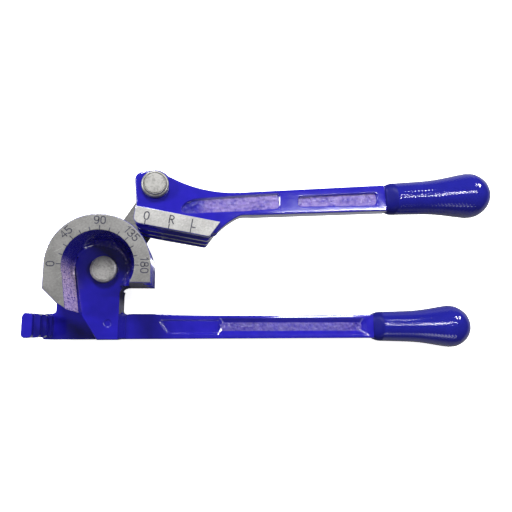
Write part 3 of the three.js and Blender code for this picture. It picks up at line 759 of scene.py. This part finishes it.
def group_shallow_edges(angle):
    """Shades a mesh smooth, but for the edges that are steeper than the angle."""
    tree = bpy.data.node_groups.new("shallow_edges", "GeometryNodeTree")
    for side in ("INPUT", "OUTPUT"):
        tree.interface.new_socket(name="Geometry", in_out=side, socket_type="NodeSocketGeometry")
    source = tree.nodes.new("NodeGroupInput")
    result = tree.nodes.new("NodeGroupOutput")
    soft = tree.nodes.new("GeometryNodeSetShadeSmooth")
    hard = tree.nodes.new("GeometryNodeSetShadeSmooth")
    hard.domain = "EDGE"
    hard.inputs["Shade Smooth"].default_value = False
    fold = tree.nodes.new("GeometryNodeInputMeshEdgeAngle")
    steep = tree.nodes.new("FunctionNodeCompare")
    steep.operation = "GREATER_THAN"
    steep.inputs[1].default_value = angle
    tree.links.new(fold.outputs[0], steep.inputs[0])
    tree.links.new(source.outputs[0], soft.inputs[0])
    tree.links.new(soft.outputs[0], hard.inputs[0])
    tree.links.new(steep.outputs[0], hard.inputs["Selection"])
    tree.links.new(hard.outputs[0], result.inputs[0])
    return tree


def smooth_solid(node, angle):
    """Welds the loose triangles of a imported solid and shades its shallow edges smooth."""
    weld = node.modifiers.new("weld", "WELD")
    weld.merge_threshold = 0.002 * MM
    smooth = node.modifiers.new("smooth", "NODES")
    smooth.node_group = bpy.data.node_groups.get("shallow_edges") or group_shallow_edges(angle)
    weigh = node.modifiers.new("weigh", "WEIGHTED_NORMAL")
    weigh.keep_sharp = True


def dress(node_name, material):
    """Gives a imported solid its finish."""
    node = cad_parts[node_name]
    node.data.materials.clear()
    node.data.materials.append(material)
    smooth_solid(node, finish_settings().paint.smooth)


# Marks made of strokes.


def arc(cx, cy, rx, ry, start, stop, count=14):
    """Points on part of an ellipse: the centre plus the radii times cosine and sine."""
    angle = np.radians(np.linspace(start, stop, count))
    return np.stack([cx + rx * np.cos(angle), cy + ry * np.sin(angle)], axis=-1)


def loop(cx, cy, rx, ry, count=28):
    """A closed rounded box: cosine and sine, each drawn out to a power under one."""
    angle = np.linspace(0, TURN, count, endpoint=False)
    c, s = np.cos(angle), np.sin(angle)
    square = 0.8
    x = cx + rx * np.sign(c) * np.abs(c) ** square
    y = cy + ry * np.sign(s) * np.abs(s) ** square
    return np.stack([x, y], axis=-1)


def bent_line(*points):
    """Straight strokes from point to point, left open at the end."""
    return np.array(points, float), False


# Strokes of each sign in a box that is 0.6 wide and 1 high, each as its points and whether it closes.
SIGNS = {
    "0": [(loop(0.3, 0.5, 0.27, 0.5), True)],
    "1": [bent_line((0.14, 0.8), (0.32, 1.0), (0.32, 0.0))],
    "3": [
        bent_line(*arc(0.27, 0.75, 0.27, 0.25, 150, -90), *arc(0.27, 0.25, 0.31, 0.25, 90, -150)[1:])
    ],
    "4": [bent_line((0.42, 0.0), (0.42, 1.0), (0.0, 0.3), (0.6, 0.3))],
    "5": [bent_line((0.54, 1.0), (0.1, 1.0), *arc(0.27, 0.31, 0.3, 0.31, 125, -150))],
    "8": [(loop(0.3, 0.76, 0.22, 0.24), True), (loop(0.3, 0.26, 0.28, 0.26), True)],
    "9": [
        (loop(0.3, 0.7, 0.27, 0.3), True),
        bent_line((0.57, 0.7), *arc(0.25, 0.45, 0.32, 0.45, 0, -115)),
    ],
    "R": [
        bent_line((0.06, 0.0), (0.06, 1.0), *arc(0.3, 0.75, 0.24, 0.25, 90, -90), (0.06, 0.5)),
        bent_line((0.28, 0.5), (0.56, 0.0)),
    ],
    "L": [bent_line((0.08, 1.0), (0.08, 0.0), (0.52, 0.0))],
}


def stroke_body(path, closed, width, thick):
    """A low bar that follows a flat path.

    Every point is moved to the left and right along the mean of the normals of the two edges that
    meet there, and the section is a box whose upper side is a little narrower than its foot.
    """
    if closed:
        before, after = path - np.roll(path, 1, axis=0), np.roll(path, -1, axis=0) - path
    else:
        step = np.diff(path, axis=0)
        before, after = np.vstack([step[:1], step]), np.vstack([step, step[-1:]])
    before /= np.linalg.norm(before, axis=1, keepdims=True)
    after /= np.linalg.norm(after, axis=1, keepdims=True)
    along = before + after
    along /= np.maximum(np.linalg.norm(along, axis=1, keepdims=True), 1e-9)
    spread = 1 / np.maximum(np.abs((along * after).sum(axis=1, keepdims=True)), 0.6)
    left = np.stack([-along[:, 1], along[:, 0]], axis=-1) * spread * width / 2
    if not closed:
        path = path.copy()
        path[0] -= along[0] * width / 2
        path[-1] += along[-1] * width / 2
    section = np.array([(-1, -thick), (-0.8, thick), (0.8, thick), (1, -thick)])
    flat = path[:, None, :] + left[:, None, :] * section[None, :, :1]
    height = np.broadcast_to(section[:, 1], flat.shape[:2])[..., None]
    points = np.concatenate([flat, height], axis=-1).reshape(-1, 3)
    rows = len(path)
    if closed:
        return points, outward(points, [ring_faces(rows + 1, 4) % (rows * 4)])
    caps = np.array([[0, 1, 2, 3], [rows * 4 - 1, rows * 4 - 2, rows * 4 - 3, rows * 4 - 4]])
    return points, outward(points, [np.concatenate([ring_faces(rows, 4), caps])])


def laid(body, origin, right, level):
    """Turns a flat body so that its own X runs along the given direction, and moves it there."""
    points, faces = body
    rx, ry = right
    x = origin[0] + points[:, 0] * rx - points[:, 1] * ry
    y = origin[1] + points[:, 0] * ry + points[:, 1] * rx
    return np.stack([x, y, level + points[:, 2]], axis=-1), faces


def word(text, height, width, thick, gap):
    """The strokes of a short word, centred on the middle of its box.

    A 1 takes less room than the other signs, and is moved left in its own.
    """
    advance = [height * (0.42 if character == "1" else 0.66) + gap for character in text]
    start = -(sum(advance) - gap) / 2
    bodies = []
    for character, step in zip(text, advance):
        shift = -0.1 * height if character == "1" else 0.0
        for path, closed in SIGNS[character]:
            moved = path * height * (1.1, 1.0) + np.array([start + shift, -height / 2])
            bodies.append(stroke_body(moved, closed, width, thick))
        start += step
    return bodies


def tick_body(start, end, width):
    """One tick on the machined faces, from start to end."""
    thick = finish_settings().mark.thick
    bar = stroke_body(np.array([start, end]), False, width, thick)
    return laid(bar, (0, 0), (1, 0), finish_settings().paint.face)


def scale_marks():
    """A tick every fifteen degrees from the left round to the right, every third with its number."""
    mark = finish_settings().mark
    level = finish_settings().paint.face
    bodies = []
    for degrees in range(0, 181, 15):
        angle = math.pi - math.radians(degrees)
        out = np.array([math.cos(angle), math.sin(angle)])
        numbered = degrees % 45 == 0
        reach = mark.long_tick if numbered else mark.tick
        bodies.append(tick_body(out * mark.inner, out * (mark.inner + reach), mark.tick_width))
        if numbered:
            for body in word(str(degrees), mark.height, mark.stroke, mark.thick, 0.62 * MM):
                bodies.append(laid(body, out * mark.ring, (out[1], -out[0]), level))
    return joined(bodies)


# Point of the shoe's working edge nearest the lever pin, and the direction of that edge.
SHOE_FOOT = np.array([20.293, 18.281]) * MM
SHOE_ALONG = (0.98686, -0.16160)


def on_shoe(along, up):
    """A place on the shoe's flat from its distances along and above its working edge."""
    x, y = SHOE_ALONG
    return SHOE_FOOT + np.array([x * along - y * up, y * along + x * up])


def shoe_marks():
    """Three ticks at the shoe's working edge, each with its sign above.

    A row has the sign, the tick's place along the edge and its length, and the sign's place.
    """
    mark = finish_settings().mark
    foot = 0.55 * MM
    rows = [
        ("0", -0.9 * MM, 1.35 * MM, (-0.7 * MM, 4.3 * MM)),
        ("R", 9.9 * MM, 1.65 * MM, (10.6 * MM, 4.7 * MM)),
        ("L", 19.8 * MM, 1.8 * MM, (20.7 * MM, 4.7 * MM)),
    ]
    bodies = []
    for sign, along, reach, sign_place in rows:
        tick = on_shoe(along, foot), on_shoe(along, foot + reach)
        bodies.append(tick_body(*tick, mark.shoe_tick_width))
        for body in word(sign, mark.shoe_height, mark.stroke, mark.thick, 0.0):
            bodies.append(laid(body, on_shoe(*sign_place), SHOE_ALONG, finish_settings().paint.face))
    return joined(bodies)


# Grips.

# Where each sleeve begins, and how far the lever's bar is turned out from +X.
BODY_GRIP_START = (141.0 * MM, -26.85 * MM, 4.7 * MM)
LEVER_GRIP_START = (137.34 * MM, 36.713 * MM, 35.87 * MM)
LEVER_BAR_TURN = 0.080128

# Distance along the sleeve and radius there, as shares of its length and of its widest radius.
SLEEVE_KNOTS = np.array(
    [
        (0.0, 0.555), (0.012, 0.575), (0.04, 0.640), (0.084, 0.688), (0.227, 0.714), (0.378, 0.741),
        (0.487, 0.784), (0.587, 0.853), (0.671, 0.922), (0.755, 0.987), (0.789, 1.0),
        (0.839, 0.978), (0.889, 0.879), (0.931, 0.733), (0.965, 0.526), (0.988, 0.293), (1.0, 0.0),
    ]
)


def sleeve_profile(rows):
    """Distance along the sleeve and radius, as shares, evenly spaced along the sleeve's line."""
    grip = finish_settings().grip
    fine = curve_through(SLEEVE_KNOTS, 1200)
    step = np.hypot(*np.diff(fine, axis=0).T * np.array([[grip.length], [grip.radius]]))
    run = np.concatenate([[0], np.cumsum(step)])
    even = np.linspace(0, run[-1], rows + 1)[:-1]
    return np.interp(even, run, fine[:, 0]), np.maximum(np.interp(even, run, fine[:, 1]), 0)


def sleeve_surface(rows=262, columns=240):
    """A knurled sleeve along +X.

    Its radius is the profile's, with the section drawn from a low rounded box at the mouth to a
    circle. The diamonds follow the product of a cosine along the sleeve and a cosine round it,
    raised to a power under one, and are faded in and out at the ends of the knurl. The third
    array says of every face whether it belongs to the collar.
    """
    grip = finish_settings().grip
    along, out = sleeve_profile(rows)
    angle = np.linspace(0, TURN, columns, endpoint=False)
    s, a = np.meshgrid(along, angle, indexing="ij")
    radius = np.repeat(out[:, None], columns, axis=1) * grip.radius
    boxy = 1 - smooth_rise(s, 0.0, 0.12)
    power = 2 + boxy
    across, up = np.abs(np.cos(a)), np.abs(np.sin(a)) / (1 - 0.2 * boxy)
    radius = radius / (across**power + up**power) ** (1 / power)
    fade = smooth_rise(s, grip.knurl_from, grip.knurl_from + 0.02)
    fade = fade * (1 - smooth_rise(s, grip.knurl_to - 0.03, grip.knurl_to + 0.01))
    diamonds = np.cos(TURN * s * grip.length / grip.pitch) * np.cos(grip.starts * a)
    crisp = np.sign(diamonds) * np.abs(diamonds) ** 0.75
    radius = radius + fade * (crisp * 0.5 - 0.5) * grip.relief
    x = s * (grip.length + grip.overlap) - grip.overlap
    grid = np.stack([x, radius * np.cos(a), radius * np.sin(a)], axis=-1)
    points, faces = closed_rings(grid, (-grip.overlap, 0, 0), (grip.length, 0, 0))
    collar = np.repeat(along[:-1] < grip.knurl_from, columns)
    collar = np.concatenate([collar, np.ones(columns, bool), np.zeros(columns, bool)])
    return points, faces, collar


def smooth_rise(value, low, high):
    """Nought to one between two values, with no corner at either end."""
    t = np.clip((value - low) / (high - low), 0, 1)
    return t * t * (3 - 2 * t)


def placed(points, start, turn):
    """Turns points about Z and moves them so that the origin comes to the start."""
    c, s = math.cos(turn), math.sin(turn)
    x = points[:, 0] * c - points[:, 1] * s + start[0]
    y = points[:, 0] * s + points[:, 1] * c + start[1]
    return np.stack([x, y, points[:, 2] + start[2]], axis=-1)


# Pins.


def pin_surface(seat, centre, rim_step):
    """A headed pin turned about its own axis.

    The profile runs up the shank past the clip's groove, out under the head at the seat, round the
    rim as a quarter circle, up a shallow cone and over a fine turned groove to the flat face.
    """
    pin = finish_settings().pin
    top = seat + pin.thick
    point, lip = 0.5 * MM, 0.25 * MM
    groove, groove_low, groove_high = 3.0 * MM, 2.95 * MM, 4.05 * MM
    shank = np.array(
        [
            (pin.shank - point, 0.0), (pin.shank, point), (pin.shank, groove_low),
            (groove, groove_low), (groove, groove_high), (pin.shank, groove_high),
            (pin.shank, seat), (pin.head - lip, seat), (pin.head, seat + lip),
        ]
    )
    turn = np.linspace(0, math.pi / 2, 9)
    cone = rim_step * 2.2
    rim = np.stack(
        [
            pin.head - pin.rounding * (1 - np.cos(turn)),
            top - cone - pin.rounding * (1 - np.sin(turn)),
        ],
        axis=-1,
    )
    inner = np.array([4.98, 4.86, 4.74, 4.62, 4.5, 2.0]) * MM
    drop = np.array([0.15, 0.9, 1.0, 0.9, 0.0, 0.0]) * rim_step
    face = np.stack([inner, top - drop], axis=-1)
    grid = revolve(np.vstack([shank, rim, face]), 96)
    points, faces = closed_rings(grid, (0, 0, 0), (0, 0, top))
    return points + np.array([*centre, 0.0]), faces


class BENDER_OT_castings(bpy.types.Operator):
    """Paint the body and the lever, and bare their machined faces"""

    bl_idname = "bender.castings"
    bl_label = "Castings"

    def execute(self, context):
        # The body's bare metal is painted darker and the lever's brighter, as painted shade and light;
        # the lever's rough floors get more painted sheen.
        dress("bender_body", painted_casting("body_paint", body_bare, body_rough, 0.7, 0.3, body_chalky))
        dress("lever_casting", painted_casting("lever_paint", machined_flat, lever_rough, 1.28, 0.9))
        return {"FINISHED"}


class BENDER_OT_hardware(bpy.types.Operator):
    """Give the link, the washers and the clips their steel"""

    bl_idname = "bender.hardware"
    bl_label = "Link, washers and clips"

    def execute(self, context):
        settings = finish_settings().pin
        dress("link_plate", plated_steel("link_steel", scaled(0.45, settings.steel), 0.42))
        washer = plated_steel("washer_steel", settings.steel, 0.32)
        clip = plated_steel("clip_steel", settings.clip, 0.3)
        for axis in ("wheel", "lever"):
            dress(f"{axis}_pin_washer", washer)
            dress(f"{axis}_pin_clip", clip)
        return {"FINISHED"}


class BENDER_OT_pins(bpy.types.Operator):
    """Turn the two headed pins"""

    bl_idname = "bender.pins"
    bl_label = "Pins"

    def execute(self, context):
        pin = finish_settings().pin
        # A row has the pin, its body, the casting's front, the step at the rim and the steel's tone.
        rows = [
            ("wheel_pin", "frame", HUB_FRONT, 0.10 * MM, 1.0),
            # The lever pin's steel is painted darker than the wheel pin's, as painted shade.
            ("lever_pin", "link", LEVER_FRONT, 0.34 * MM, 0.74),
        ]
        for node, body, front, rim_step, tone in rows:
            steel = plated_steel(f"{node}_steel", scaled(tone, pin.steel), 0.42)
            low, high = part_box(node)
            centre = ((low.x + high.x) / 2, (low.y + high.y) / 2)
            points, faces = pin_surface(front + pin.play, centre, rim_step)
            piece = make_piece(
                f"{node}_turned", points, faces, steel, body, "plated_steel", math.radians(35)
            )
            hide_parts(node)
        return {"FINISHED"}


class BENDER_OT_grips(bpy.types.Operator):
    """Mould the two knurled sleeves"""

    bl_idname = "bender.grips"
    bl_label = "Grips"

    def execute(self, context):
        glossy = sleeve_plastic("sleeve_plastic", 1.0, 0.06, 0.5)
        # The collar is a rougher copy of the sleeve's plastic with its colour painted darker, as painted
        # shade.
        shaded_dull = sleeve_plastic("collar_shaded_plastic", 0.72, 0.4, 0.08)
        points, faces, collar = sleeve_surface()
        rows = [
            ("body_grip", "frame", BODY_GRIP_START, 0.0),
            ("lever_grip", "lever", LEVER_GRIP_START, LEVER_BAR_TURN),
        ]
        for node, body, start, turn in rows:
            piece = make_piece(
                f"{node}_sleeve",
                placed(points, start, turn),
                faces,
                glossy,
                body,
                "grip_rubber",
                math.radians(80),
            )
            piece.data.materials.append(shaded_dull)
            piece.data.polygons.foreach_set("material_index", collar.astype(np.int32))
            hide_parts(node)
        return {"FINISHED"}


class BENDER_OT_marks(bpy.types.Operator):
    """Fill the ticks and signs of the scale and the shoe"""

    bl_idname = "bender.marks"
    bl_label = "Scale and shoe marks"

    def execute(self, context):
        ink = mark_ink()
        sharp = math.radians(30)
        make_piece("scale_marks", *scale_marks(), ink, "frame", "blue_paint", sharp)
        make_piece("shoe_marks", *shoe_marks(), ink, "lever", "blue_paint", sharp)
        return {"FINISHED"}


# Stage.

# Each lamp has its name, its place, the place that it faces, its two sides and its power in watts.
LAMPS = (
    ("near_lamp", (0.25, 0.088, 0.41), (0.25, 0.03, 0.03), (0.18, 0.007), 1.0),
    ("top_lamp", (-0.10, 0.75, 0.90), (0.03, 0.0, 0.02), (0.30, 0.22), 12.5),
    ("far_lamp", (0.85, 0.80, 0.80), (0.08, 0.0, 0.02), (0.14, 0.14), 7.0),
    ("left_lamp", (-0.85, 0.25, 0.62), (0.0, 0.0, 0.0), (0.30, 0.12), 9.0),
    ("low_lamp", (0.25, -0.90, 0.50), (0.08, 0.0, 0.0), (0.50, 0.20), 1.6),
)
CAMERA_PLACE = (0.03443427, -0.02813195, 0.26902)
CAMERA_DEGREES = (8.339386, -9.031272, -0.131118)


def area_light(name, place, target, size, power):
    """A soft rectangular light that faces the target."""
    data = bpy.data.lights.new(name, "AREA")
    data.shape = "RECTANGLE"
    data.size, data.size_y = size
    data.energy = power
    light = bpy.data.objects.new(name, data)
    light.location = place
    toward = Vector(target) - Vector(place)
    light.rotation_euler = toward.to_track_quat("-Z", "Y").to_euler()
    bpy.context.scene.collection.objects.link(light)


class BENDER_OT_stage(bpy.types.Operator):
    """Lay the floor, hang the lights and set the camera"""

    bl_idname = "bender.stage"
    bl_label = "Stage"

    def execute(self, context):
        settings = finish_settings().stage
        scene = bpy.context.scene
        level = CAD_BOX[0].z - settings.drop
        half = 2.5
        corners = [(x * half, y * half, level) for x, y in ((-1, -1), (1, -1), (1, 1), (-1, 1))]
        mesh = bpy.data.meshes.new("floor")
        mesh.from_pydata(corners, [], [(0, 1, 2, 3)])
        mesh.materials.append(floor_paper())
        floor = bpy.data.objects.new("floor", mesh)
        scene.collection.objects.link(floor)

        world = bpy.data.worlds.new("studio")
        world.use_nodes = True
        world.node_tree.nodes["Background"].inputs[0].default_value = (1, 1, 1, 1)
        world.node_tree.nodes["Background"].inputs[1].default_value = settings.sky
        scene.world = world
        scene.view_settings.view_transform = "Standard"

        for lamp in LAMPS:
            area_light(*lamp)

        camera_data = bpy.data.cameras.new("photo_camera")
        camera_data.lens = settings.lens
        camera_data.sensor_width = 36
        camera_data.clip_start = 0.01
        camera = bpy.data.objects.new("photo_camera", camera_data)
        camera.location = CAMERA_PLACE
        camera.rotation_euler = Euler([math.radians(part) for part in CAMERA_DEGREES], "XYZ")
        scene.collection.objects.link(camera)
        scene.camera = camera
        return {"FINISHED"}


class BENDER_PT_panel(bpy.types.Panel):
    """The builders of the bender, in the order in which they run"""

    bl_idname = "BENDER_PT_panel"
    bl_label = "Lever Tube Bender"
    bl_space_type = "VIEW_3D"
    bl_region_type = "UI"
    bl_category = "Bender"

    def draw(self, context):
        for operator in OPERATORS:
            self.layout.operator(operator.bl_idname)


OPERATORS = (
    BENDER_OT_castings,
    BENDER_OT_hardware,
    BENDER_OT_pins,
    BENDER_OT_grips,
    BENDER_OT_marks,
    BENDER_OT_stage,
)

CLASSES = (
    BenderPaintSettings,
    BenderGripSettings,
    BenderMarkSettings,
    BenderPinSettings,
    BenderStageSettings,
    BenderSettings,
    *OPERATORS,
    BENDER_PT_panel,
)


def register():
    for kind in CLASSES:
        bpy.utils.register_class(kind)
    bpy.types.Scene.bender = bpy.props.PointerProperty(type=BenderSettings)


def unregister():
    del bpy.types.Scene.bender
    for kind in reversed(CLASSES):
        bpy.utils.unregister_class(kind)


def main():
    """Runs every operator."""
    register()
    for operator in OPERATORS:
        group, name = operator.bl_idname.split(".")
        getattr(getattr(bpy.ops, group), name)()


if __name__ == "__main__":
    main()
